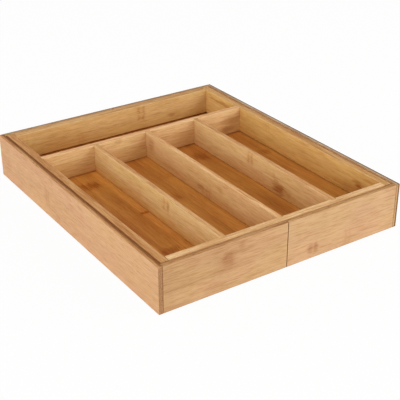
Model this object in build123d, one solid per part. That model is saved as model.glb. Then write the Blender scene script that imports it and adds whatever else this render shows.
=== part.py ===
from build123d import *
import os

# Extending bamboo cutlery tray: a centre tray between two shells that slide out to the left and right.
# Frame: +X to the right, +Y to the back, +Z up, origin under the middle of the closed tray.
# Every length is in millimetres.

# Footprint with both shells closed
closed_width = 300
closed_depth = 355

# Thickness of each kind of board
shell_board = 5
shell_floor_board = 4
tray_board = 8
tray_floor_board = 4
cross_board = 7
divider_board = 6

# Room between the shells and the centre tray
side_gap = 2.5
end_gap = 1.4
rest_gap = 0.3
seam_gap = 0.8

# Heights stacked between the boards, and compartments
shell_floor_lift = 4
floor_room = 6.8
compartment_depth = 32.7
back_compartment = 67.6
long_divider_names = ["long_divider_left", "long_divider_middle", "long_divider_right"]

# Joints in the wood: what is glued keeps a fine line, the floor panels lie loose in grooves in the boards,
# and the dividers stand clear of the panel
glue_line = 0.1
housing_depth = 2
floor_tongue = 2.5
groove_room = 0.4
panel_play = 1.2
divider_lift = 0.5

# Runners of the tray in the grooves of the shells
runner_length = 25
runner_height = 5
runner_seat = 2.5
runner_reach = 2.2
runner_inset = 2
runner_clearance = 0.3
stop_web = 6.8

# Rounding of the boards' long edges, and of the ends that meet at the seam
edge_ease = 0.8
seam_ease = 0.2

# Faces and levels that follow from the sizes above
half_width = closed_width / 2
half_depth = closed_depth / 2
shell_inner_x = half_width - shell_board
shell_inner_y = half_depth - shell_board
tray_outer_x = shell_inner_x - side_gap
tray_outer_y = shell_inner_y - end_gap
tray_inner_x = tray_outer_x - tray_board
tray_inner_y = tray_outer_y - tray_board
shell_floor_top = shell_floor_lift + shell_floor_board
tray_bottom = shell_floor_top + rest_gap
tray_floor_bottom = shell_floor_top + floor_room
tray_floor_top = tray_floor_bottom + tray_floor_board
rim_height = tray_floor_top + compartment_depth
divider_bottom = tray_floor_top + divider_lift
cross_back_y = tray_inner_y - back_compartment
cross_front_y = cross_back_y - cross_board
divider_count = len(long_divider_names)
compartment_width = (2 * tray_inner_x - divider_count * divider_board) / (divider_count + 1)

# Spans of the runners, and how far each shell can slide before its groove's end meets them
runner_outer_x = tray_inner_x - runner_inset
runner_inner_x = runner_outer_x - runner_length
runner_level = (tray_bottom + rim_height) / 2
runner_z = (runner_level - runner_height / 2, runner_level + runner_height / 2)
seam_x = seam_gap / 2
groove_inner_x = seam_x + stop_web
travel = runner_inner_x - runner_clearance - groove_inner_x


def block(x_span, y_span, z_span, room=0):
    """A plain board between two places along each axis, larger by some room on every side."""
    spans = (x_span, y_span, z_span)
    sizes = [high - low + 2 * room for low, high in spans]
    middles = [(low + high) / 2 for low, high in spans]
    return Pos(*middles) * Box(*sizes)


def eased(board, axis):
    """The board with its four edges along one axis rounded."""
    return fillet(board.edges().filter_by(axis), radius=edge_ease)


def floor_spans():
    """The tray's floor panel, which enters all four boards of the tray."""
    reach_x = tray_inner_x + floor_tongue
    reach_y = tray_inner_y + floor_tongue
    return (-reach_x, reach_x), (-reach_y, reach_y), (tray_floor_bottom, tray_floor_top)


def floor_groove():
    """The space that the tray's boards leave round the floor panel, with loose height above it."""
    (x0, x1), (y0, y1), (z0, z1) = floor_spans()
    room = groove_room
    return block((x0 - room, x1 + room), (y0 - room, y1 + room), (z0, z1 + panel_play))


def cross_spans():
    """The cross divider, housed at both ends in the tray's side boards."""
    reach = tray_inner_x + housing_depth
    return (-reach, reach), (cross_front_y, cross_back_y), (divider_bottom, rim_height)


def divider_spans(index):
    """One long divider, housed in the tray's front board and in the cross divider."""
    left_x = -tray_inner_x + compartment_width + index * (compartment_width + divider_board)
    y_span = (-tray_inner_y - housing_depth, cross_front_y + housing_depth)
    return (left_x, left_x + divider_board), y_span, (divider_bottom, rim_height)


def runner_spans(side_x, side_y):
    """One runner, by the signs of its side along X and along Y."""
    x_span = sorted((side_x * runner_outer_x, side_x * runner_inner_x))
    seat_y = tray_outer_y - runner_seat
    tip_y = shell_inner_y + runner_reach
    y_span = sorted((side_y * seat_y, side_y * tip_y))
    return x_span, y_span, runner_z


def tray_side_board(side):
    """A side board of the tray, as long as the tray is deep, with its floor groove and housing."""
    x_span = sorted((side * tray_inner_x, side * tray_outer_x))
    board = eased(block(x_span, (-tray_outer_y, tray_outer_y), (tray_bottom, rim_height)), Axis.Y)
    return board - floor_groove() - block(*cross_spans(), room=glue_line)


def tray_end_board(side):
    """The tray's front or back board, between its side boards, with seats for two runners."""
    x_reach = tray_inner_x - glue_line
    y_span = sorted((side * tray_inner_y, side * tray_outer_y))
    board = eased(block((-x_reach, x_reach), y_span, (tray_bottom, rim_height)), Axis.X)
    board -= floor_groove()
    for side_x in (-1, 1):
        board -= block(*runner_spans(side_x, side), room=glue_line)
    return board


def tray_front_board():
    """The front board, which also houses the front ends of the long dividers."""
    board = tray_end_board(-1)
    for index in range(divider_count):
        board -= block(*divider_spans(index), room=glue_line)
    return board


def tray_floor():
    """The floor panel of the centre tray."""
    return block(*floor_spans())


def cross_divider():
    """The board across the tray, with housings for the back ends of the long dividers."""
    board = eased(block(*cross_spans()), Axis.X)
    for index in range(divider_count):
        board -= block(*divider_spans(index), room=glue_line)
    return board


def long_divider(index):
    """One of the dividers that run from front to back."""
    return eased(block(*divider_spans(index)), Axis.Y)


def runner(side_x, side_y):
    """A short strip, glued in the tray's board, that slides in a shell's groove."""
    return block(*runner_spans(side_x, side_y))


def shell_floor_spans():
    """The left shell's floor panel, in grooves on three sides and free at the seam."""
    x_span = (-shell_inner_x - floor_tongue, -seam_x)
    reach_y = shell_inner_y + floor_tongue
    return x_span, (-reach_y, reach_y), (shell_floor_lift, shell_floor_top)


def shell_floor_groove():
    """The space that the left shell's boards leave round its floor panel."""
    (x0, x1), (y0, y1), (z0, z1) = shell_floor_spans()
    room = groove_room
    return block((x0 - room, x1 + room), (y0 - room, y1 + room), (z0, z1 + glue_line))


def shell_side_board():
    """The left shell's side board, which runs past the ends of its front and back boards."""
    x_span = (-half_width, -shell_inner_x)
    board = block(x_span, (-half_depth, half_depth), (0, rim_height))
    return fillet(board.edges(), radius=edge_ease) - shell_floor_groove()


def runner_groove(side):
    """The groove of the left shell's front or back board, closed at both ends."""
    outer_x = runner_outer_x + runner_clearance
    bottom_y = shell_inner_y + runner_reach + runner_clearance
    y_span = sorted((side * tray_outer_y, side * bottom_y))
    z_span = (runner_z[0] - runner_clearance, runner_z[1] + runner_clearance)
    return block((-outer_x, -groove_inner_x), y_span, z_span)


def shell_end_board(side):
    """The left shell's front or back board, from its side board to the seam."""
    x_span = (-shell_inner_x + glue_line, -seam_x)
    y_span = sorted((side * shell_inner_y, side * half_depth))
    board = eased(block(x_span, y_span, (0, rim_height)), Axis.X)
    seam_end = board.faces().sort_by(Axis.X)[-1]
    board = fillet(seam_end.edges(), radius=seam_ease)
    return board - shell_floor_groove() - runner_groove(side)


def shell_floor():
    """The left shell's floor panel."""
    return block(*shell_floor_spans())


def tray_pieces():
    """The pieces of the centre tray by name."""
    pieces = {
        "tray_front_board": tray_front_board(),
        "tray_back_board": tray_end_board(1),
        "tray_left_board": tray_side_board(-1),
        "tray_right_board": tray_side_board(1),
        "tray_floor": tray_floor(),
        "cross_divider": cross_divider(),
    }
    for index, name in enumerate(long_divider_names):
        pieces[name] = long_divider(index)
    for end_name, side_y in (("front", -1), ("back", 1)):
        for side_name, side_x in (("left", -1), ("right", 1)):
            pieces[f"{end_name}_{side_name}_runner"] = runner(side_x, side_y)
    return pieces


def shell_pieces():
    """The pieces of the left shell, and their mirror images for the right shell, by name."""
    left = {
        "side_board": shell_side_board(),
        "front_board": shell_end_board(-1),
        "back_board": shell_end_board(1),
        "floor": shell_floor(),
    }
    pieces = {}
    for name, shape in left.items():
        pieces[f"left_shell_{name}"] = shape
        pieces[f"right_shell_{name}"] = mirror(shape, about=Plane.YZ)
    return pieces


os.makedirs("parts", exist_ok=True)
for name, shape in {**tray_pieces(), **shell_pieces()}.items():
    export_step(shape, f"parts/{name}.step")
print("compartment width", round(compartment_width, 2), "shell travel", round(travel, 2))
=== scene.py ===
# %% [markdown]
# A bamboo cutlery tray that widens to fill a drawer: a centre tray between two shells that slide out.
# Its boards come from the CAD model at their real size. They could be modelled again here, but two
# copies of a shape drift apart, so this lesson only makes them bamboo: pressed strips of different
# tones, fine fibres, the rings of the cane, buds, and sawn edges and ends.

# %% The frame
import math
import random

import bpy
from mathutils import Matrix, Vector


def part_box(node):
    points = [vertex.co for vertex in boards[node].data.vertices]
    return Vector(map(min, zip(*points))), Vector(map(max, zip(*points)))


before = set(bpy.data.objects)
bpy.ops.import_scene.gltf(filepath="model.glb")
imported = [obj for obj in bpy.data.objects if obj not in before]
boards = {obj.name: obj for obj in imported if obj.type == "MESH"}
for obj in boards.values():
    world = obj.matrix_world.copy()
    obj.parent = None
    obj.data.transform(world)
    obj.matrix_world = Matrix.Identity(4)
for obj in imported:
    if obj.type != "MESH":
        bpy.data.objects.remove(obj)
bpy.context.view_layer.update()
print("boards in the frame:", len(boards))

# %% [markdown]
# The tray was photographed from the front left, looking down. A camera could be aimed by eye, but here
# its place, its two angles and its lens were worked out from the corners of the tray. So a board's edge
# falls on the same pixel in the render and in the photograph, and their colours can be compared there.

# %% The camera
CAMERA_PLACE = (-0.5180, -0.7917, 0.4976)
CAMERA_TURN = 33.95    # degrees from straight ahead towards the right
CAMERA_DIP = 27.81     # degrees below the horizon
LENS = 84.4            # millimetres, on a sensor 36 mm wide
NEAREST_SEEN = 0.01    # metres from the lens


def add_camera():
    """A camera turned and dipped as the one that took the photograph."""
    data = bpy.data.cameras.new("photo_camera")
    data.lens = LENS
    data.clip_start = NEAREST_SEEN
    camera = bpy.data.objects.new("photo_camera", data)
    camera.location = CAMERA_PLACE
    camera.rotation_euler = (math.radians(90 - CAMERA_DIP), 0, math.radians(-CAMERA_TURN))
    bpy.context.scene.collection.objects.link(camera)
    bpy.context.scene.camera = camera
    return camera


camera = add_camera()
print("camera at", tuple(round(v, 3) for v in camera.location))

# %% [markdown]
# A colour that is picked from a screen is stored in sRGB, but Blender mixes light in linear
# values. Each colour could be turned by hand, and then nobody could read it. One helper does the
# change, so that every finish below is written the way a person sees it.

# %% Colour helper
def srgb(red, green, blue):
    """A screen colour of 0 to 255 as a linear colour: the sRGB curve undone on each channel."""
    def linear(value):
        share = value / 255
        return share / 12.92 if share <= 0.04045 else ((share + 0.055) / 1.055) ** 2.4
    return linear(red), linear(green), linear(blue), 1.0


print("warm white in linear values", [round(v, 3) for v in srgb(255, 250, 244)[:3]])

# %% [markdown]
# No two boards of bamboo are alike, and a picture of wood repeats itself and blurs from close by. So
# everything below is drawn with shader nodes. Wiring them one by one takes pages, and a few small
# helpers keep it readable: one feeds a value or a wire to a socket, and the others add a maths node, a
# colour mix, a stain, a soft threshold, and a value that swings to both sides of zero.

# %% Node helpers
def feed(tree, socket, value):
    """Joins a wire to a socket, or sets the socket to a plain value."""
    if isinstance(value, bpy.types.NodeSocket):
        tree.links.new(value, socket)
    else:
        socket.default_value = value


def maths(tree, operation, *values):
    """One maths node; the values are numbers or wires."""
    node = tree.nodes.new("ShaderNodeMath")
    node.operation = operation
    for socket, value in zip(node.inputs, values):
        feed(tree, socket, value)
    return node.outputs[0]


def blend_colours(tree, amount, first, second, mode="MIX"):
    """The first colour with some of the second laid over it, or multiplied into it."""
    node = tree.nodes.new("ShaderNodeMix")
    node.data_type = "RGBA"
    node.blend_type = mode
    for socket, value in ((node.inputs[0], amount), (node.inputs[6], first), (node.inputs[7], second)):
        feed(tree, socket, value)
    return node.outputs[2]


def stained(tree, colour, stain, mask, strength=None):
    """The colour times the stain where the mask is 1, less with a strength below 1: a thin glaze."""
    amount = mask if strength is None else maths(tree, "MULTIPLY", mask, strength)
    return blend_colours(tree, amount, colour, stain, "MULTIPLY")


def threshold(tree, value, low, high, start=0.0, end=1.0):
    """A smooth step: start below low, end above high."""
    node = tree.nodes.new("ShaderNodeMapRange")
    node.interpolation_type = "SMOOTHSTEP"
    for name, number in (("From Min", low), ("From Max", high), ("To Min", start), ("To Max", end)):
        feed(tree, node.inputs[name], number)
    feed(tree, node.inputs["Value"], value)
    return node.outputs[0]


def centred(tree, value, reach):
    """A value of 0 to 1 as one of minus the reach to plus the reach."""
    return maths(tree, "MULTIPLY_ADD", value, 2 * reach, -reach)


print("node helpers ready")

# %% [markdown]
# Bamboo is a bundle of straight fibres, so its noise is stretched along the grain. A noise texture has
# one scale for all directions, but it can be read at a place that was stretched first. So one helper
# multiplies a place along each axis, and the noise gets a number of patches a metre for each of them.
# The others take a place apart into its three numbers and add two places.

# %% Noise helpers
def scaled(tree, vector, factors):
    """The place times a factor along each axis."""
    node = tree.nodes.new("ShaderNodeVectorMath")
    node.operation = "MULTIPLY"
    feed(tree, node.inputs[0], vector)
    node.inputs[1].default_value = factors
    return node.outputs[0]


def noise(tree, vector, stretch, detail=3.0, roughness=0.6):
    """Cloudy noise from 0 to 1, with its own number of patches a metre along each axis."""
    node = tree.nodes.new("ShaderNodeTexNoise")
    node.inputs["Scale"].default_value = 1.0
    node.inputs["Detail"].default_value = detail
    node.inputs["Roughness"].default_value = roughness
    tree.links.new(scaled(tree, vector, stretch), node.inputs["Vector"])
    return node.outputs["Fac"]


def parts_of(tree, vector):
    """The three numbers of a place or a direction."""
    node = tree.nodes.new("ShaderNodeSeparateXYZ")
    feed(tree, node.inputs[0], vector)
    return list(node.outputs)


def summed(tree, first, second, operation="ADD"):
    """Two places added, or one taken from the other."""
    node = tree.nodes.new("ShaderNodeVectorMath")
    node.operation = operation
    feed(tree, node.inputs[0], first)
    feed(tree, node.inputs[1], second)
    return node.outputs[0]


print("noise helpers ready")

# %% [markdown]
# The tray stands on plain white with hardly a shadow. More light on the floor could whiten it, but it
# would bleach the boards too. So the floor is matt white, and rays that come from the camera, from a
# glossy surface or through glass see nearly plain white there. The little that is left keeps a faint
# shadow, and the tray doesn't float.

# %% The backdrop
WHITE = srgb(255, 255, 255)
PLAIN_SHARE = 0.95      # how much of the seen floor is plain white, without a shadow
FLOOR_SIZE = 8.0        # metres
FLOOR_DROP = 0.0003     # metres below the boards' lower edges


def sees_backdrop(tree):
    """1 for rays from the camera, from a glossy surface or through glass, and 0 for the others."""
    path = tree.nodes.new("ShaderNodeLightPath")
    seen = maths(tree, "MAXIMUM", path.outputs["Is Camera Ray"], path.outputs["Is Glossy Ray"])
    return maths(tree, "MAXIMUM", seen, path.outputs["Is Transmission Ray"])


def floor_material():
    """Matt white, nearly all of it plain white where it is looked at."""
    material = bpy.data.materials.new("studio_floor")
    material.use_nodes = True
    tree = material.node_tree
    tree.nodes.clear()
    matt = tree.nodes.new("ShaderNodeBsdfDiffuse")
    matt.inputs["Color"].default_value = srgb(248, 248, 248)
    glow = tree.nodes.new("ShaderNodeEmission")
    glow.inputs["Color"].default_value = WHITE
    mix = tree.nodes.new("ShaderNodeMixShader")
    output = tree.nodes.new("ShaderNodeOutputMaterial")
    feed(tree, mix.inputs["Fac"], maths(tree, "MULTIPLY", sees_backdrop(tree), PLAIN_SHARE))
    tree.links.new(matt.outputs[0], mix.inputs[1])
    tree.links.new(glow.outputs[0], mix.inputs[2])
    tree.links.new(mix.outputs[0], output.inputs["Surface"])
    return material


def add_floor():
    """A square floor of one face, a hair below the tray."""
    mesh = bpy.data.meshes.new("studio_floor")
    half = FLOOR_SIZE / 2
    corners = [(x, y, -FLOOR_DROP) for x, y in ((-half, -half), (half, -half), (half, half), (-half, half))]
    mesh.from_pydata(corners, [], [(0, 1, 2, 3)])
    mesh.materials.append(floor_material())
    floor = bpy.data.objects.new("studio_floor", mesh)
    bpy.context.scene.collection.objects.link(floor)
    return floor


studio_floor = add_floor()
print("floor of", studio_floor.dimensions[0], "m")

# %% [markdown]
# The studio is a white tent with a dim ceiling. Its light comes in low, so the boards' faces are as
# bright as their top edges, and the compartments grow darker and warmer towards their floors. A ring of
# lamps could stand in for the walls, but the world does it with one threshold on height. Two large
# lamps, one to the front right and one high on the left, shape the compartments: a lamp's power is in
# watts, and its size sets how soft the shadows are.

# %% The light
WALL_LIGHT = 1.72
CEILING_LIGHT = 0.04
WALL_TOP = 0.38         # the sine of 22 degrees above the floor
CEILING_START = 0.58    # the sine of 35 degrees
TRAY_MIDDLE = (0, 0, 0.03)
LAMP_SIZE = 1.2         # metres
LAMP_COLOUR = srgb(255, 252, 248)


def light_the_world():
    """Wall light up to the walls' top, a smooth fall to the ceiling's, and strength 1 where it is seen."""
    world = bpy.data.worlds.new("studio_world")
    world.use_nodes = True
    tree = world.node_tree
    background = tree.nodes["Background"]
    background.inputs["Color"].default_value = WHITE
    direction = tree.nodes.new("ShaderNodeTexCoord")
    height = parts_of(tree, direction.outputs["Generated"])[2]
    level = threshold(tree, height, WALL_TOP, CEILING_START, WALL_LIGHT, CEILING_LIGHT)
    seen = sees_backdrop(tree)
    unseen_level = maths(tree, "MULTIPLY", level, maths(tree, "SUBTRACT", 1.0, seen))
    feed(tree, background.inputs["Strength"], maths(tree, "ADD", unseen_level, seen))
    bpy.context.scene.world = world


def add_lamp(name, place, watts):
    """A large square lamp at a place, turned to the middle of the tray."""
    data = bpy.data.lights.new(name, "AREA")
    data.size = LAMP_SIZE
    data.energy = watts
    data.color = LAMP_COLOUR[:3]
    lamp = bpy.data.objects.new(name, data)
    lamp.location = place
    lamp.rotation_euler = (Vector(TRAY_MIDDLE) - Vector(place)).to_track_quat("-Z", "Y").to_euler()
    bpy.context.scene.collection.objects.link(lamp)


bpy.context.scene.view_settings.view_transform = "Standard"
light_the_world()
add_lamp("front_right_lamp", (1.27, -1.27, 1.26), 16)
add_lamp("high_left_lamp", (-1.10, 0.0, 1.90), 18.5)
print("lamps", [light.name for light in bpy.data.lights])

# %% [markdown]
# All boards share the same effects, such as strips, fibres and smudges. Their nodes could be copied
# into every material, but then each change would be made 21 times. So an effect is built once, as a
# node group with named sockets, and placed in each material with its own values. These helpers make an
# empty group with its two end nodes, join its outputs, and place it.

# %% Groups
FLOAT, VECTOR = "NodeSocketFloat", "NodeSocketVector"
ORIGIN = (0, 0, 0)


def new_group(name, inputs, outputs):
    """An empty shader node group: inputs by name, kind and usual value, and outputs by name."""
    group = bpy.data.node_groups.new(name, "ShaderNodeTree")
    for socket_name, kind, value in inputs:
        socket = group.interface.new_socket(name=socket_name, in_out="INPUT", socket_type=kind)
        socket.default_value = value
    for socket_name in outputs:
        group.interface.new_socket(name=socket_name, in_out="OUTPUT", socket_type=FLOAT)
    given = group.nodes.new("NodeGroupInput").outputs
    result = group.nodes.new("NodeGroupOutput").inputs
    return group, given, result


def put_out(group, result, **wires):
    """Joins wires to a group's outputs by name (underscores are spaces)."""
    for name, wire in wires.items():
        group.links.new(wire, result[name.replace("_", " ")])


def placed(tree, group, **values):
    """The outputs of a group placed in a material, its inputs set by name (underscores are spaces)."""
    node = tree.nodes.new("ShaderNodeGroup")
    node.node_tree = group
    for name, value in values.items():
        feed(tree, node.inputs[name.replace("_", " ")], value)
    return node.outputs


print("group helpers ready")

# %% [markdown]
# A bamboo board is pressed from strips about 20 mm wide, each cut from another cane. So every strip has
# its own tint, and a ring of the cane crosses it at its own place: two soft lines with a blush between
# them. The strips could be modelled one by one, but they lie flush and glued, so it is enough to number
# them across the board and to draw a few random values for each number.

# %% Strips and their rings
JOINT_REACH = 0.0004      # metres from a joint that its dark line reaches
RING_HALF_GAP = 0.0028    # metres from the middle of a ring to each of its lines
RING_BOW = 0.008          # metres that a ring would bend at a full strip's width off the middle
RING_RAGGED = 0.002       # metres that noise pushes a ring about


def make_strips_group():
    """Number = floor((y - joint) / width). The ring's lines lie where |x + ring place| is the half gap."""
    group, given, result = new_group(
        "bamboo_strips",
        [("Vector", VECTOR, ORIGIN), ("Width", FLOAT, 0.02), ("Joint Place", FLOAT, 0.0),
         ("Ring Spacing", FLOAT, 0.24), ("Seed", FLOAT, 0.0)],
        ["Number", "Joint", "Ring Lines", "Ring Blush"])
    along, across, _ = parts_of(group, given["Vector"])
    from_joint = maths(group, "SUBTRACT", across, given["Joint Place"])
    count = maths(group, "DIVIDE", from_joint, given["Width"])
    number = maths(group, "FLOOR", count)
    in_strip = maths(group, "SUBTRACT", count, number)
    off_centre = maths(group, "ABSOLUTE", maths(group, "SUBTRACT", in_strip, 0.5))
    to_joint = maths(group, "MULTIPLY", maths(group, "SUBTRACT", 0.5, off_centre), given["Width"])

    draw = group.nodes.new("ShaderNodeTexWhiteNoise")
    draw.noise_dimensions = "1D"
    group.links.new(maths(group, "ADD", number, given["Seed"]), draw.inputs["W"])
    drawn = group.nodes.new("ShaderNodeSeparateColor")
    group.links.new(draw.outputs["Color"], drawn.inputs[0])
    strength = threshold(group, drawn.outputs[2], 0.2, 0.9, 0.1, 1.0)

    spacing = given["Ring Spacing"]
    own_place = maths(group, "MULTIPLY", drawn.outputs[0], spacing)
    bow = maths(group, "MULTIPLY", maths(group, "MULTIPLY", off_centre, off_centre), RING_BOW)
    ragged = centred(group, noise(group, given["Vector"], (30, 400, 400)), RING_RAGGED)
    ring_place = maths(group, "ADD", own_place, maths(group, "ADD", bow, ragged))
    half = maths(group, "MULTIPLY", spacing, 0.5)
    minus_half = maths(group, "MULTIPLY", half, -1.0)
    wrapped = maths(group, "WRAP", maths(group, "ADD", along, ring_place), half, minus_half)
    distance = maths(group, "ABSOLUTE", wrapped)
    from_line = maths(group, "ABSOLUTE", maths(group, "SUBTRACT", distance, RING_HALF_GAP))
    lines = maths(group, "MULTIPLY", threshold(group, from_line, 0.0002, 0.0016, 1, 0), strength)
    blush = maths(group, "MULTIPLY", threshold(group, distance, 0.002, 0.009, 1, 0), strength)
    put_out(group, result, Number=number, Joint=threshold(group, to_joint, 0.0, JOINT_REACH, 1, 0),
            Ring_Lines=lines, Ring_Blush=blush)
    return group


strips_group = make_strips_group()
print("strips group with", len(strips_group.nodes), "nodes")

# %% [markdown]
# Along the grain bamboo is full of straight fibres, a millimetre apart and less, and many centimetres
# long. Modelled as threads they would be millions of faces. Stretched noise draws them at four scales,
# from single fibres to slow clouds, and the highest peaks of a fifth noise are the short dark flecks
# that show on a sawn edge. A slight bend of the place keeps the fibres from looking ruled.

# %% Fibres
FIBRE_BEND = 0.0008    # metres that the fibres wander sideways


def make_fibres_group():
    """Noises 3 to 17 times as long as they are wide, on a place that is bent sideways by noise."""
    group, given, result = new_group(
        "bamboo_fibres", [("Vector", VECTOR, ORIGIN), ("Seed", FLOAT, 0.0)],
        ["Fine", "Streaks", "Bands", "Clouds", "Flecks"])
    seed = group.nodes.new("ShaderNodeCombineXYZ")
    for socket in seed.inputs:
        group.links.new(given["Seed"], socket)
    start = summed(group, given["Vector"], seed.outputs[0])
    bend = group.nodes.new("ShaderNodeCombineXYZ")
    group.links.new(centred(group, noise(group, start, (9, 22, 22), 1), FIBRE_BEND), bend.inputs[1])
    place = summed(group, start, bend.outputs[0])
    peaks = threshold(group, noise(group, place, (140, 1300, 1300), 2, 0.5), 0.58, 0.68)
    put_out(group, result, Flecks=peaks,
            Fine=noise(group, place, (60, 1000, 1000), 4, 0.7),
            Streaks=noise(group, place, (20, 300, 300), 3, 0.6),
            Bands=noise(group, place, (7, 80, 80), 2, 0.5),
            Clouds=noise(group, place, (12, 34, 34), 2, 0.5))
    return group


fibres_group = make_fibres_group()
print("fibres group with", len(fibres_group.nodes), "nodes")

# %% [markdown]
# A board shows several kinds of face: the broad faces, the sawn top edge, the end grain, and the face
# turned to a gap, which is darkened with painted shade. Each could have a material slot of its own, but
# then a rounded edge would change colour along a hard line. The direction that a face points in tells
# them apart softly, and where a rounded edge turns from one to another, no axis takes the whole direction.

# %% Cut faces
def make_faces_group():
    """End is |n . grain|, top is |n_z|, gap is n . gap side, and edge is 1 - the largest share of n."""
    group, given, result = new_group(
        "cut_faces", [("Grain", VECTOR, (1, 0, 0)), ("Gap Side", VECTOR, ORIGIN)],
        ["End", "Top", "Gap", "Edge"])
    normal = group.nodes.new("ShaderNodeNewGeometry").outputs["Normal"]

    def facing(direction):
        """n . direction: 1 where the face looks that way, 0 where it stands across."""
        dot = group.nodes.new("ShaderNodeVectorMath")
        dot.operation = "DOT_PRODUCT"
        group.links.new(normal, dot.inputs[0])
        group.links.new(direction, dot.inputs[1])
        return dot.outputs["Value"]

    sizes = [maths(group, "ABSOLUTE", wire) for wire in parts_of(group, normal)]
    largest = maths(group, "MAXIMUM", maths(group, "MAXIMUM", sizes[0], sizes[1]), sizes[2])
    along_grain = maths(group, "ABSOLUTE", facing(given["Grain"]))
    put_out(group, result,
            End=threshold(group, along_grain, 0.75, 0.9),
            Top=threshold(group, sizes[2], 0.75, 0.9),
            Gap=threshold(group, facing(given["Gap Side"]), 0.2, 0.7),
            Edge=threshold(group, largest, 0.8, 0.99, 1, 0))
    return group


faces_group = make_faces_group()
print("faces group with", len(faces_group.nodes), "nodes")

# %% [markdown]
# Here and there a bud grew from the cane and left a dark smudge, and a damaged fibre left a dark
# streak. Chance could scatter them, but on this tray their places are known. One group draws both, and
# on the tray's floor also one painted shadow: a soft core and a paler cloud at a chosen place, as long
# and as wide as it is told, with a ragged outline.

# %% Smudges
OUTLINE_RAGGED = 0.8    # smudge sizes that noise pushes the outline about


def make_smudge_group():
    """Distance from the place, in smudge sizes, pushed about by noise, then a core and a cloud."""
    group, given, result = new_group(
        "bamboo_smudge",
        [("Vector", VECTOR, ORIGIN), ("Place", VECTOR, ORIGIN), ("Length", FLOAT, 0.01),
         ("Width", FLOAT, 0.006)],
        ["Core", "Cloud"])
    offset = parts_of(group, summed(group, given["Vector"], given["Place"], "SUBTRACT"))
    along = maths(group, "DIVIDE", offset[0], given["Length"])
    across = maths(group, "DIVIDE", offset[1], given["Width"])
    along_square = maths(group, "MULTIPLY", along, along)
    across_square = maths(group, "MULTIPLY", across, across)
    evenly = maths(group, "SQRT", maths(group, "ADD", along_square, across_square))
    ragged = centred(group, noise(group, given["Vector"], (90, 380, 380)), OUTLINE_RAGGED)
    distance = maths(group, "ADD", evenly, ragged)
    fibrous = threshold(group, noise(group, given["Vector"], (60, 700, 700), 2), 0.3, 0.65, 0.3, 1)
    put_out(group, result,
            Core=maths(group, "MULTIPLY", threshold(group, distance, 0.3, 1.2, 1, 0), fibrous),
            Cloud=threshold(group, distance, 0.1, 1.6, 1, 0))
    return group


smudge_group = make_smudge_group()
print("smudge group with", len(smudge_group.nodes), "nodes")

# %% [markdown]
# Most rings of the cane are faint, but a few stand out: two reddish lines across the strip, 7 mm apart
# and not quite straight, with a paler blush round them. The strips' own rings could be made stronger,
# but then every strip would be striped. So another group draws one such ring at a chosen place.

# %% A strong ring
STRONG_HALF_GAP = 0.0035    # metres from the middle of a strong ring to each of its lines
STRONG_RAGGED = 0.004       # metres that noise pushes a strong ring about


def make_ring_group():
    """Lines where the distance along the grain is the half gap, faded out beyond the reach across it."""
    group, given, result = new_group(
        "strong_ring",
        [("Vector", VECTOR, ORIGIN), ("Place", VECTOR, ORIGIN), ("Reach", FLOAT, 0.009)],
        ["Lines", "Blush"])
    offset = parts_of(group, summed(group, given["Vector"], given["Place"], "SUBTRACT"))
    ragged = centred(group, noise(group, given["Vector"], (40, 200, 200)), STRONG_RAGGED)
    along = maths(group, "ABSOLUTE", maths(group, "ADD", offset[0], ragged))
    share = maths(group, "DIVIDE", maths(group, "ABSOLUTE", offset[1]), given["Reach"])
    within = threshold(group, share, 0.7, 1.1, 1, 0)
    broken = threshold(group, noise(group, given["Vector"], (90, 240, 240)), 0.3, 0.55, 0.2, 1)
    from_line = maths(group, "ABSOLUTE", maths(group, "SUBTRACT", along, STRONG_HALF_GAP))
    line = maths(group, "MULTIPLY", threshold(group, from_line, 0.0003, 0.0030, 1, 0), within)
    put_out(group, result,
            Lines=maths(group, "MULTIPLY", line, broken),
            Blush=maths(group, "MULTIPLY", threshold(group, along, 0.001, 0.010, 1, 0), within))
    return group


ring_group = make_ring_group()
print("strong ring group with", len(ring_group.nodes), "nodes")

# %% [markdown]
# Where a board is cut across the grain, its fibres end in dark pores in paler wood. Dots on a grid would
# look printed, because real pores stand anywhere. A Voronoi texture knows the distance to the nearest
# of many scattered points, and a threshold turns that into round pores with soft rims.

# %% End grain
PORES_A_METRE = 1100


def make_end_grain_group():
    """Wood is 0 in a pore and 1 between pores, from the distance to the nearest scattered point."""
    group, given, result = new_group("end_grain", [("Vector", VECTOR, ORIGIN)], ["Wood"])
    pores = group.nodes.new("ShaderNodeTexVoronoi")
    pores.inputs["Scale"].default_value = PORES_A_METRE
    group.links.new(given["Vector"], pores.inputs["Vector"])
    put_out(group, result, Wood=threshold(group, pores.outputs["Distance"], 0.15, 0.45))
    return group


end_grain_group = make_end_grain_group()
print("end grain group with", len(end_grain_group.nodes), "nodes")

# %% [markdown]
# The varnish is thin and satin: it sinks in over the fibres, stays dull on the thirsty end grain, and
# dips into the joints. Cut into the mesh, such fine relief would cost millions of faces, so the group
# gives a roughness that follows the fibres and a height for a small bump that lets the light catch them.

# %% Varnish
SATIN_ROUGHNESS = 0.42
FIBRE_ROUGHNESS = 0.2    # more where the fibre noise is 1
END_ROUGHNESS = 0.15     # more on end grain
RING_RELIEF = 0.5        # height of a ring's lines, as a share of the fibres'


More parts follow.
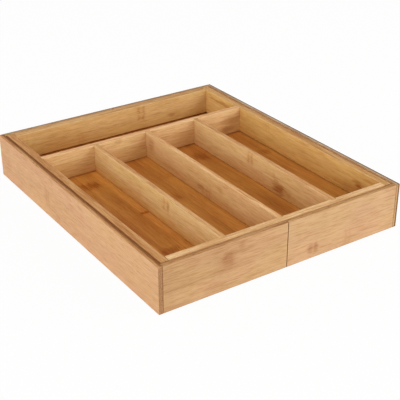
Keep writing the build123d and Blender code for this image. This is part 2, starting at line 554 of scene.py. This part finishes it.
def make_varnish_group():
    """Roughness is satin + fibres + end, each times its share; height is fibres - joints + rings."""
    group, given, result = new_group(
        "satin_varnish",
        [("Fibres", FLOAT, 0.5), ("End", FLOAT, 0.0), ("Joints", FLOAT, 0.0), ("Ring Lines", FLOAT, 0.0)],
        ["Roughness", "Height"])
    rough = maths(group, "MULTIPLY_ADD", given["Fibres"], FIBRE_ROUGHNESS, SATIN_ROUGHNESS)
    level = maths(group, "SUBTRACT", given["Fibres"], given["Joints"])
    put_out(group, result,
            Roughness=maths(group, "MULTIPLY_ADD", given["End"], END_ROUGHNESS, rough),
            Height=maths(group, "MULTIPLY_ADD", given["Ring Lines"], RING_RELIEF, level))
    return group


varnish_group = make_varnish_group()
print("varnish group with", len(varnish_group.nodes), "nodes")

# %% [markdown]
# Each board is cut from other strips, and its grain runs along it. A pattern could follow a UV map, but
# flat boards don't need one: a Mapping node turns the object's own coordinates so that x runs along the
# grain and y across the strips. They stay in metres from the middle of the tray, so a smudge is placed
# by measuring where it is on the real one.

# %% Grain coordinates
AXES = {"x": Vector((1, 0, 0)), "y": Vector((0, 1, 0)), "z": Vector((0, 0, 1))}


def grain_place(tree, grain, across):
    """Object coordinates turned so that x is the grain and y runs across the strips."""
    rows = [AXES[grain], AXES[across]]
    rows.append(rows[0].cross(rows[1]))
    coordinates = tree.nodes.new("ShaderNodeTexCoord")
    mapping = tree.nodes.new("ShaderNodeMapping")
    mapping.inputs["Rotation"].default_value = Matrix(rows).to_euler()
    tree.links.new(coordinates.outputs["Object"], mapping.inputs["Vector"])
    return mapping.outputs[0]


print("grain axes", list(AXES))

# %% [markdown]
# The strips of a board differ in tone, and a strip changes slowly from end to end, as its cane did. Two
# colours could be picked for each strip, but one number from 0, pale, to 1, deep, is easier to steer.
# A ramp in flat steps gives each strip its tone, an eased ramp gives the slow change, and the clouds,
# bands and streaks of the fibres are added to them.

# %% Tones of the strips
CHANCE_TONES = (0.15, 0.85)    # the palest and the deepest tone that chance may give a strip
ROUNDING = 1e-6                # strips; an edge this close to a joint is on it


def ramp(tree, share, tones, interpolation):
    """A ramp over tones from 0, pale, to 1, deep, each with as much room: in flat steps, or eased."""
    node = tree.nodes.new("ShaderNodeValToRGB")
    node.color_ramp.interpolation = interpolation
    while len(node.color_ramp.elements) < len(tones):
        node.color_ramp.elements.new(0.5)
    for step, (element, tone) in enumerate(zip(node.color_ramp.elements, tones)):
        element.position = step / len(tones) if interpolation == "CONSTANT" else step / (len(tones) - 1)
        element.color = (tone, tone, tone, 1)
    feed(tree, node.inputs[0], share)
    return node.outputs["Color"]


def span_share(tree, wire, low, high):
    """How far a coordinate is from its low to its high end, from 0 to 1."""
    return maths(tree, "DIVIDE", maths(tree, "SUBTRACT", wire, low), high - low)


def number_strips(look, low, high):
    """The number of the first strip and the tones of all, drawn by chance where none are given."""
    first = math.floor((low - look["joint"]) / look["strip"] + ROUNDING)
    last = math.ceil((high - look["joint"]) / look["strip"] - ROUNDING)
    chance = random.Random(look["seed"])
    tones = look["tones"] or [chance.uniform(*CHANCE_TONES) for _ in range(last - first)]
    if len(tones) != last - first:
        raise ValueError(f"seed {look['seed']}: {last - first} strips but {len(tones)} tones")
    return first, tones


def tone_depth(tree, look, place, strips, fibres, box):
    """0 pale to 1 deep: the strip's tone + the slow change - 0.5 + centred clouds, bands and streaks."""
    low, high = [corner["xyz".index(look["across"])] for corner in box]
    start, stop = [corner["xyz".index(look["grain"])] for corner in box]
    first, tones = number_strips(look, low, high)
    share = span_share(tree, maths(tree, "ADD", strips["Number"], 0.5), first, first + len(tones))
    tone = maths(tree, "MULTIPLY", ramp(tree, share, tones, "CONSTANT"), look["contrast"])
    slow = ramp(tree, span_share(tree, parts_of(tree, place)[0], start, stop), look["slow"], "EASE")
    depth = maths(tree, "ADD", tone, maths(tree, "SUBTRACT", slow, 0.5))
    for name in ("Clouds", "Bands", "Streaks"):
        depth = maths(tree, "ADD", depth, centred(tree, fibres[name], look[name.lower()] / 2))
    depth.node.use_clamp = True
    return depth


print("tone helpers ready")

# %% [markdown]
# On a broad face the wood goes from pale to deep, with a pink or a golden cast here and there, and with
# its rings and smudges. Where a board stands on the tray's floor, painted warm shade darkens its foot and
# a painted shadow line lies along it, but not on the side that looks at a gap. All this could be one ramp
# of many colours, which is hard to steer. Colours that are multiplied in, one by one, only darken and
# warm what is there.

# %% The broad faces
PINK_CAST = srgb(255, 243, 236)
GOLDEN_CAST = srgb(252, 250, 224)
RING_BLUSH = srgb(234, 208, 186)
RING_LINE = srgb(226, 196, 174)
SMUDGE_CLOUD = srgb(232, 208, 188)
SMUDGE_CORE = srgb(200, 168, 150)
FOOT_GLOW = srgb(240, 220, 184)
FOOT_LINE = srgb(150, 114, 78)
FLOOR_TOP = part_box("tray_floor")[1][2]
GLOW_HEIGHT = 0.016         # metres above the floor where the foot's painted shade ends
FOOT_LINE_HEIGHT = 0.002


def foot_colour(tree, look, place, faces, colour):
    """The colour with painted warm shade and a painted shadow line at the foot of a standing board, inside
    the tray.
    """
    height = maths(tree, "SUBTRACT", parts_of(tree, place)[1], FLOOR_TOP)
    inside = maths(tree, "SUBTRACT", 1, faces["Gap"])
    # Painted warm shade that deepens towards the foot, and a painted shadow line right at it.
    glow = threshold(tree, height, 0.0, GLOW_HEIGHT, look["foot"], 0)
    colour = stained(tree, colour, FOOT_GLOW, glow, inside)
    line = threshold(tree, height, 0.0, FOOT_LINE_HEIGHT, look["foot_line"], 0)
    return stained(tree, colour, FOOT_LINE, line, inside)


def face_colour(tree, look, place, strips, fibres, faces, depth):
    """Pale to deep, then the casts, the painted shade at the foot, the rings, and the smudges and painted
    shadow.
    """
    colour = blend_colours(tree, depth, look["pale"], look["deep"])
    colour = stained(tree, colour, PINK_CAST, threshold(tree, fibres["Clouds"], 0.42, 0.62), look["pink"])
    golden = threshold(tree, fibres["Clouds"], 0.38, 0.58, 1, 0)
    colour = stained(tree, colour, GOLDEN_CAST, golden, look["golden"])
    colour = foot_colour(tree, look, place, faces, colour)
    colour = stained(tree, colour, RING_BLUSH, strips["Ring Blush"], look["rings"])
    colour = stained(tree, colour, RING_LINE, strips["Ring Lines"], look["rings"])
    for along, across, reach, strength in look["strong_rings"]:
        ring = placed(tree, ring_group, Vector=place, Place=(along, across, 0), Reach=reach)
        colour = stained(tree, colour, RING_BLUSH, ring["Blush"], strength / 2)
        colour = stained(tree, colour, RING_LINE, ring["Lines"], strength)
    # Smudges, and on the floor one painted shadow along the back board's foot.
    for along, across, length, width, strength in look["smudges"]:
        smudge = placed(tree, smudge_group, Vector=place, Place=(along, across, 0),
                        Length=length, Width=width)
        colour = stained(tree, colour, SMUDGE_CLOUD, smudge["Cloud"], strength)
        colour = stained(tree, colour, SMUDGE_CORE, smudge["Core"], strength)
    return colour


print("broad faces above the floor at", round(FLOOR_TOP, 4), "m")

# %% [markdown]
# The sawn top edge of a standing board is streaked and flecked, and the end grain is darker and
# speckled with pores. On some boards painted shade darkens one long edge of the top, and on one it
# also runs down the ends. These could be separate materials, but one colour laid over another by the
# mask of a cut face keeps a board in one piece and its rounded edges soft.

# %% Sawn edges and ends
FIBRE_BROWN = srgb(224, 204, 178)
FLECK_BROWN = srgb(176, 128, 96)
PORE_BROWN = srgb(128, 88, 52)


def cut_colours(tree, look, place, fibres, faces, colour):
    """The colour with the top edge of a standing board and the end grain laid over it."""
    top = stained(tree, look["top"], FIBRE_BROWN, threshold(tree, fibres["Streaks"], 0.35, 0.65))
    top = stained(tree, top, FLECK_BROWN, fibres["Flecks"], look["flecks"])
    wood = placed(tree, end_grain_group, Vector=place)["Wood"]
    end = blend_colours(tree, wood, PORE_BROWN, look["end"])
    # Painted shade along one long side of the top, and on one board down the ends as well.
    if look["rim_span"]:
        rim = threshold(tree, parts_of(tree, place)[2], *look["rim_span"])
        top = stained(tree, top, look["rim"], rim)
        end = stained(tree, end, look["rim"], rim, look["end_rim"])
    if look["across"] == "z":
        colour = blend_colours(tree, faces["Top"], colour, top)
    return blend_colours(tree, faces["End"], colour, end)


print("cut colours ready")

# %% [markdown]
# Last come the effects that cross all faces of a board: painted shade on the face in a gap, single
# fibres, joint lines, and the long edges, sanded pale on most boards and darkened with painted shade on
# the shells. Then the colour, the roughness and the bump meet in one Principled shader. A clear coat on
# top of it could be the varnish, but thin satin varnish has no second shine, so a rough surface with
# little specular light is closer.

# %% One bamboo finish
JOINT_BROWN = srgb(196, 160, 128)
RAW_BROWN = srgb(214, 180, 134)
VARNISH_SPECULAR = 0.1
BUMP_STRENGTH = 0.35
BUMP_HEIGHT = 0.00015    # metres


def bamboo(node_name, look):
    """A varnished bamboo board in one material."""
    material = bpy.data.materials.new("bamboo_" + node_name)
    material.use_nodes = True
    tree = material.node_tree
    shader = tree.nodes["Principled BSDF"]
    shader.inputs["Specular IOR Level"].default_value = VARNISH_SPECULAR
    place = grain_place(tree, look["grain"], look["across"])
    strips = placed(tree, strips_group, Vector=place, Width=look["strip"], Joint_Place=look["joint"],
                    Ring_Spacing=look["spacing"], Seed=look["seed"])
    fibres = placed(tree, fibres_group, Vector=place, Seed=look["seed"])
    faces = placed(tree, faces_group, Grain=AXES[look["grain"]], Gap_Side=look["gap_side"])

    depth = tone_depth(tree, look, place, strips, fibres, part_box(node_name))
    colour = face_colour(tree, look, place, strips, fibres, faces, depth)
    colour = cut_colours(tree, look, place, fibres, faces, colour)
    # Painted shade on the face that looks at a gap.
    colour = stained(tree, colour, RAW_BROWN, faces["Gap"], look["raw"])
    colour = stained(tree, colour, FIBRE_BROWN, threshold(tree, fibres["Fine"], 0.4, 0.75))
    joints = maths(tree, "MULTIPLY", strips["Joint"], look["joints"])
    colour = stained(tree, colour, JOINT_BROWN, joints)
    # The long edges: paler where they are worn, and on the shells darker as painted shade.
    worn = maths(tree, "MULTIPLY", faces["Edge"], look["edge_wear"])
    tree.links.new(blend_colours(tree, worn, colour, look["edge"]), shader.inputs["Base Color"])

    varnish = placed(tree, varnish_group, Fibres=fibres["Fine"], End=faces["End"], Joints=joints,
                     Ring_Lines=strips["Ring Lines"])
    tree.links.new(varnish["Roughness"], shader.inputs["Roughness"])
    bump = tree.nodes.new("ShaderNodeBump")
    bump.inputs["Strength"].default_value = BUMP_STRENGTH
    bump.inputs["Distance"].default_value = BUMP_HEIGHT
    tree.links.new(varnish["Height"], bump.inputs["Height"])
    tree.links.new(bump.outputs[0], shader.inputs["Normal"])
    return material


print("bamboo finish ready")

# %% [markdown]
# Each board has its own look, because each was cut from other canes. Its values could be written out
# board by board, but most of them would be the same. So one plain look holds the usual values, and a
# board's own look says only what differs. A standing board has its strips above each other, and the
# tones go from the lowest up. The marks are given in metres along the grain and across it, with a
# strength from 0 to 1.

# %% The plain look
PLAIN = {
    # The axis of the grain, the axis across the strips, and the side that looks at a gap
    "grain": "x", "across": "z", "gap_side": (0, 0, 0),
    # Strips: their width and the place of a joint, their tones, the slow change and the joint lines
    "strip": 0.020, "joint": 0.0, "tones": None, "contrast": 0.5, "slow": [0.5, 0.5], "joints": 0.15,
    # How far the noises move the tone, and how strong the casts and the flecks are
    "clouds": 0.6, "bands": 0.8, "streaks": 0.9, "pink": 0.4, "golden": 0.4, "flecks": 0.3,
    # Faint rings, then (along, across, reach, strength) and (along, across, length, width, strength)
    "rings": 0.2, "spacing": 0.26, "strong_rings": [], "smudges": [],
    # Painted shade at the foot inside the tray and on the face in a gap, and the long edges
    "foot": 0.0, "foot_line": 0.0, "raw": 0.3, "edge_wear": 0.3,
    # Where, through the board's thickness, the top's painted shade starts and is full, and its share on the
    # ends
    "rim_span": None, "end_rim": 0.0,
    # Colours
    "pale": srgb(232, 192, 142), "deep": srgb(208, 158, 104), "top": srgb(218, 172, 122),
    "end": srgb(177, 135, 97), "edge": srgb(232, 192, 148), "rim": srgb(178, 144, 104),
}


def plain(seed, **changes):
    """The plain look with a seed of its own and some changes."""
    return {**PLAIN, "seed": seed, **changes}


print("values in the plain look:", len(PLAIN))

# %% [markdown]
# The shells are the palest and plainest boards, and their sawn top edges are browner, with dark flecks.
# Their looks could start from the plain one too, but then these colours would be written six times. So
# an outer look stands between the plain one and each board's, and the two back boards share some more.
# A shell's floor is hidden while the tray is closed, so it keeps the plain look.

# %% The shells
LEFT, RIGHT, FRONT, BACK = (-1, 0, 0), (1, 0, 0), (0, -1, 0), (0, 1, 0)
OUTER = {
    "pale": srgb(218, 175, 134), "deep": srgb(196, 151, 112), "top": srgb(199, 152, 101),
    # The shells' edge colour is darker: painted shade along their rounded edges.
    "edge": srgb(182, 134, 92), "edge_wear": 0.4, "flecks": 0.7, "streaks": 1.1,
}
OUTER_BACK = {
    "gap_side": FRONT, "raw": 0.0, "joint": 0.021, "streaks": 0.7, "clouds": 0.4,
    # Painted shade along the outer side of the back boards' tops.
    "top": srgb(185, 154, 107), "rim": srgb(168, 158, 146), "rim_span": (-0.1743, -0.1767),
}


def outer(seed, **changes):
    """A board of a shell: the plain look, the outer colours and some changes."""
    return plain(seed, **{**OUTER, **changes})


LOOKS = {
    "left_shell_side_board": outer(
        3.0, grain="y", gap_side=RIGHT, joint=0.0115, tones=[0.35, 0.5, 0.3], raw=0.7,
        slow=[0.5, 0.45, 0.35, 0.45, 0.55, 0.6, 0.5, 0.55, 0.65],
        # Painted shade deepens the inner side of its top, next to the gap.
        top=srgb(224, 178, 123), rim_span=(-0.1492, -0.1455)),
    "right_shell_side_board": outer(
        5.0, grain="y", gap_side=LEFT, joint=0.0115, tones=[0.3, 0.7, 0.4], raw=0.0,
        slow=[0.4, 0.5, 0.45, 0.6, 0.5, 0.4, 0.45, 0.6, 0.5], streaks=0.7, clouds=0.4,
        # Its edge colour is a dark painted shade along its outer rounded edges.
        top=srgb(214, 187, 152), end=srgb(213, 168, 117), edge=srgb(122, 98, 76), edge_wear=0.9,
        # Painted shade on the outer side of its top, also running down its ends.
        rim=srgb(138, 130, 120), rim_span=(0.1468, 0.1487), end_rim=1.0),
    "left_shell_front_board": outer(
        8.0, gap_side=BACK, joint=0.021, tones=[0.1, 0.1, 0.7, 0.5], contrast=0.4,
        slow=[0.8, 0.7, 0.6, 0.7, 0.6, 0.45, 0.4, 0.4], streaks=0.7, bands=0.5,
        pale=srgb(211, 173, 131), deep=srgb(179, 137, 95), top=srgb(192, 147, 97),
        strong_rings=[(-0.072, 0.033, 0.009, 0.15)],
        smudges=[(-0.073, 0.033, 0.011, 0.009, 0.4), (-0.056, 0.045, 0.005, 0.004, 0.25)]),
    "right_shell_front_board": outer(
        11.0, gap_side=BACK, joint=0.021, tones=[0.2, 0.3, 0.8, 0.6], contrast=0.3,
        slow=[0.55, 0.5, 0.6, 0.5, 0.55, 0.5, 0.4, 0.6], streaks=0.5, bands=0.5,
        pale=srgb(216, 178, 138), deep=srgb(187, 149, 110), top=srgb(202, 162, 109),
        smudges=[(0.030, 0.0115, 0.004, 0.006, 0.4), (0.037, 0.0115, 0.003, 0.006, 0.5)]),
    "left_shell_back_board": outer(
        14.0, **OUTER_BACK, tones=[0.3, 0.2, 0.75, 0.5], slow=[0.5, 0.6, 0.5, 0.4, 0.5, 0.55, 0.4]),
    "right_shell_back_board": outer(
        17.0, **OUTER_BACK, tones=[0.6, 0.7, 0.3, 0.35], slow=[0.45, 0.4, 0.5, 0.6, 0.5, 0.4, 0.5]),
    "left_shell_floor": plain(20.0, grain="y", across="x"),
    "right_shell_floor": plain(23.0, grain="y", across="x"),
}
print("looks of the shells:", len(LOOKS))

# %% [markdown]
# The tray's boards are richer in tone than the shells, and the front one has the lightest top edge of
# all. One seed could draw all their marks by chance. Where the real tray shows a ring, a bud or a
# change of tone, its place is given instead, and chance fills only the rest. The runners under the rim
# are hidden, so they keep the plain look.

# %% The tray's boards
LOOKS.update({
    "tray_front_board": plain(26.0, gap_side=FRONT, foot=0.5, top=srgb(243, 207, 157)),
    "tray_back_board": plain(
        29.0, gap_side=BACK, joint=0.035, tones=[0.6, 0.7, 0.3], raw=0.0, foot=0.4, foot_line=1.0,
        slow=[0.4, 0.7, 0.75, 0.6, 0.4, 0.45, 0.5, 0.35, 0.4, 0.2, 0.1],
        pale=srgb(226, 193, 135), deep=srgb(197, 154, 91), top=srgb(212, 171, 115),
        strong_rings=[(0.035, 0.041, 0.010, 0.55)], smudges=[(0.080, 0.029, 0.008, 0.003, 0.5)]),
    "tray_left_board": plain(
        32.0, grain="y", gap_side=LEFT, raw=0.7, top=srgb(209, 159, 102), end=srgb(213, 168, 117)),
    "tray_right_board": plain(
        35.0, grain="y", gap_side=RIGHT, raw=0.0, foot=0.4, foot_line=0.3,
        slow=[0.9, 0.85, 0.65, 0.5, 0.45, 0.45, 0.4, 0.4, 0.45, 0.5, 0.55, 0.4, 0.1, 0.1, 0.1],
        pale=srgb(230, 192, 126), deep=srgb(194, 145, 78), top=srgb(212, 168, 107),
        end=srgb(213, 168, 117),
        smudges=[(-0.128, 0.037, 0.008, 0.003, 0.7), (-0.132, 0.033, 0.007, 0.003, 0.7),
                 (0.125, 0.044, 0.035, 0.003, 0.5), (-0.128, 0.025, 0.045, 0.008, 0.3)]),
    "front_left_runner": plain(53.0),
    "front_right_runner": plain(56.0),
    "back_left_runner": plain(59.0),
    "back_right_runner": plain(62.0),
})
print("looks with the tray's boards:", len(LOOKS))

# %% [markdown]
# The floor is a darker panel, pressed from 14 strips that differ strongly. It could be drawn by chance
# too, but the lightest strip and the smudges are what the eye finds first in the compartments, so the
# tones are given one by one. The last smudge is as wide as the panel: a painted shadow along the foot of
# the back board.

# %% The tray's floor
FLOOR_TONES = [0.6, 0.9, 0.6, 0.1, 0.5, 0.7, 0.35, 0.6, 0.5, 0.75, 0.55, 0.6, 0.6, 0.5]
LOOKS["tray_floor"] = plain(
    38.0, grain="y", across="x", tones=FLOOR_TONES, contrast=0.8, clouds=1.1, streaks=0.8, joints=0.4,
    pale=srgb(222, 158, 81), deep=srgb(178, 113, 51),
    smudges=[(0.057, -0.094, 0.010, 0.013, 0.8), (-0.112, -0.096, 0.008, 0.012, 0.6),
             (-0.030, -0.076, 0.003, 0.006, 0.8), (0.053, 0.053, 0.012, 0.010, 0.6),
             (0.022, 0.124, 0.008, 0.007, 0.5), (-0.0185, -0.0275, 0.012, 0.007, 0.55),
             # A painted shadow along the foot of the back board.
             (0.163, 0.0, 0.004, 0.5, 0.9)])
print("strips of the floor:", len(FLOOR_TONES))

# %% [markdown]
# The dividers are light above and browner at the foot: each is pressed from two strips, one above the
# other, and painted shade darkens the foot further. They could share one look, but they stand side by
# side and would look like copies. So each has its own tones, its own rings, and its own buds where the
# real ones have them.

# %% The dividers
LOOKS.update({
    "cross_divider": plain(
        41.0, joint=0.0392, tones=[0.9, 0.1], streaks=0.4, bands=0.4, foot=0.2, foot_line=0.2,
        slow=[0.6, 0.6, 0.55, 0.5, 0.5, 0.6, 0.4, 0.4, 0.4, 0.3, 0.5],
        pale=srgb(236, 203, 152), deep=srgb(210, 161, 98), top=srgb(237, 195, 145),
        smudges=[(0.120, 0.037, 0.016, 0.007, 0.4), (0.114, 0.026, 0.012, 0.005, 0.6),
                 (-0.040, 0.048, 0.006, 0.003, 0.3), (0.004, 0.034, 0.005, 0.014, 0.4)]),
    "long_divider_left": plain(
        44.0, grain="y", joint=0.034, tones=[0.8, 0.3], foot=0.8, foot_line=0.5,
        slow=[0.4, 0.4, 0.35, 0.4, 0.45, 0.5, 0.4, 0.35, 0.4],
        pale=srgb(231, 202, 147), deep=srgb(208, 164, 103), top=srgb(221, 176, 120),
        strong_rings=[(-0.066, 0.043, 0.008, 0.45)], smudges=[(-0.070, 0.043, 0.003, 0.005, 0.35)]),
    "long_divider_middle": plain(
        47.0, grain="y", joint=0.034, tones=[0.7, 0.3], contrast=0.4, streaks=0.7, foot=0.5,
        foot_line=0.5, slow=[0.45, 0.5, 0.5, 0.6, 0.6, 0.6, 0.45, 0.35, 0.4],
        pale=srgb(225, 190, 140), deep=srgb(195, 146, 96), top=srgb(237, 193, 138),
        smudges=[(-0.030, 0.0285, 0.013, 0.003, 0.5), (-0.033, 0.023, 0.004, 0.002, 0.2),
                 (0.040, 0.026, 0.030, 0.003, 0.25), (0.076, 0.040, 0.007, 0.010, 0.4),
                 (-0.066, 0.039, 0.006, 0.004, 0.25)]),
    "long_divider_right": plain(
        50.0, grain="y", joint=0.034, tones=[0.7, 0.3], foot=0.4, foot_line=0.2,
        slow=[0.55, 0.55, 0.55, 0.5, 0.5, 0.45, 0.4],
        pale=srgb(228, 194, 143), deep=srgb(199, 151, 98), top=srgb(216, 168, 112),
        strong_rings=[(-0.0265, 0.046, 0.010, 0.5)],
        smudges=[(-0.095, 0.0280, 0.006, 0.006, 0.2), (-0.0795, 0.0275, 0.011, 0.0085, 0.9),
                 (-0.100, 0.026, 0.012, 0.005, 0.2), (-0.070, 0.042, 0.003, 0.004, 0.2)]),
})
print("looks in all:", len(LOOKS))

# %% [markdown]
# A board of the CAD model arrives with one plain material. A dressed copy could stand in for it, but
# the board already has its real shape, so the mesh is left alone and only what is in its material
# slots is changed.

# %% Dressing the boards
def dress(node_name, finish):
    """Gives a board its finish in place of the plain one that it was packed with."""
    mesh = boards[node_name].data
    mesh.materials.clear()
    mesh.materials.append(finish)


for node_name in sorted(boards):
    dress(node_name, bamboo(node_name, LOOKS[node_name]))
print("boards dressed:", len(boards))
